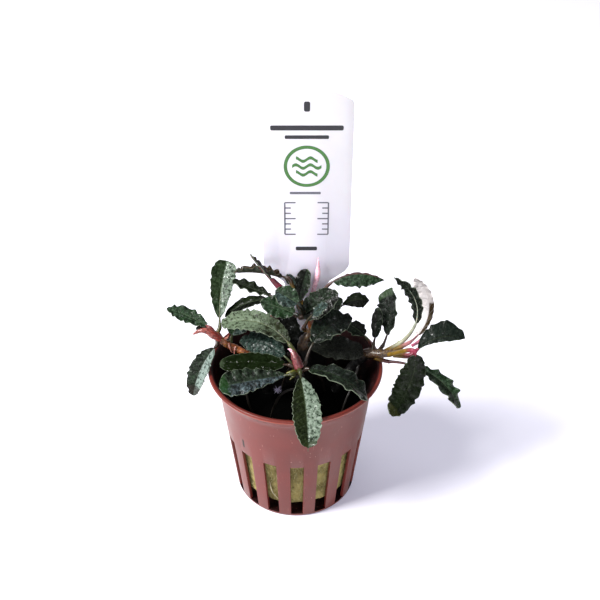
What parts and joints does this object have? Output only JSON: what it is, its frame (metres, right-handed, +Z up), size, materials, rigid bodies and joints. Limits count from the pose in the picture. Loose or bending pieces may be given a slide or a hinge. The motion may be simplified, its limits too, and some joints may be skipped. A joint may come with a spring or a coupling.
{
  "type": "bucephalandra in a net pot",
  "caption": "Small wavy-leaved aquarium plant on creeping stems, rooted in rock wool in a slotted red net pot, with an upright plastic plant label behind it.",
  "frame": {"origin": "on the pot's axis, at the centre of the flat underside of its floor", "axes": "+Z up along the pot's axis, +X to the right of a reader of the label, +Y away from the reader, behind the label"},
  "size_m": [0.093, 0.063, 0.1358],
  "materials": {
    "pot_plastic": "satin brick red moulded plastic",
    "wool": "yellow-green mineral fibre, nearly black where it is wet on top",
    "label_plastic": null,
    "stem": "moist orange-brown",
    "sheath": "moist pink-red",
    "leaf_green": "wet dark green with silver flecks",
    "leaf_silver": "wet pale silvery green",
    "leaf_brown": "wet dark olive brown",
    "leaf_white": "wet whitish underside"
  },
  "bodies": {
    "root": {"pot": "pot_plastic", "rock_wool": "wool", "plant_label": "label_plastic", "rhizome_left": "stem", "rhizome_front": "stem", "rhizome_right": "stem", "rhizome_back": "stem", "shoot_back_left": "stem", "shoot_back_top": "stem", "shoot_back_right": "stem", "sheath_left": "sheath", "sheath_front": "sheath", "sheath_right": "sheath", "sheath_back": "sheath", "leaf_left_up": "leaf_green", "leaf_left_out": "leaf_green", "leaf_left_down": "leaf_green", "leaf_left_under": "leaf_brown", "leaf_left_small": "leaf_green", "leaf_centre_blue": "leaf_green", "leaf_front_down": "leaf_green", "leaf_front_right": "leaf_green", "leaf_front_left": "leaf_green", "leaf_front_left_low": "leaf_green", "leaf_front_pale": "leaf_silver", "leaf_front_back_right": "leaf_green", "leaf_right_inner": "leaf_brown", "leaf_right_narrow": "leaf_green", "leaf_right_up": "leaf_green", "leaf_right_curl": "leaf_green", "leaf_right_white": "leaf_white", "leaf_right_out": "leaf_green", "leaf_right_down": "leaf_green", "leaf_right_down_out": "leaf_green", "leaf_right_back": "leaf_green", "leaf_back_left_fore": "leaf_green", "leaf_back_left_dark": "leaf_brown", "leaf_back_left_mid": "leaf_brown", "leaf_back_left_brown": "leaf_brown", "leaf_back_left_edge": "leaf_brown", "leaf_back_up": "leaf_green", "leaf_back_right_up": "leaf_green", "leaf_back_right_low": "leaf_silver", "leaf_back_right_far": "leaf_green", "leaf_back_right_dark": "leaf_brown", "leaf_back_right_short": "leaf_green", "leaf_back_silver": "leaf_silver", "leaf_back_knob": "leaf_silver", "leaf_back_shade": "leaf_brown"}
  },
  "joints": []
}
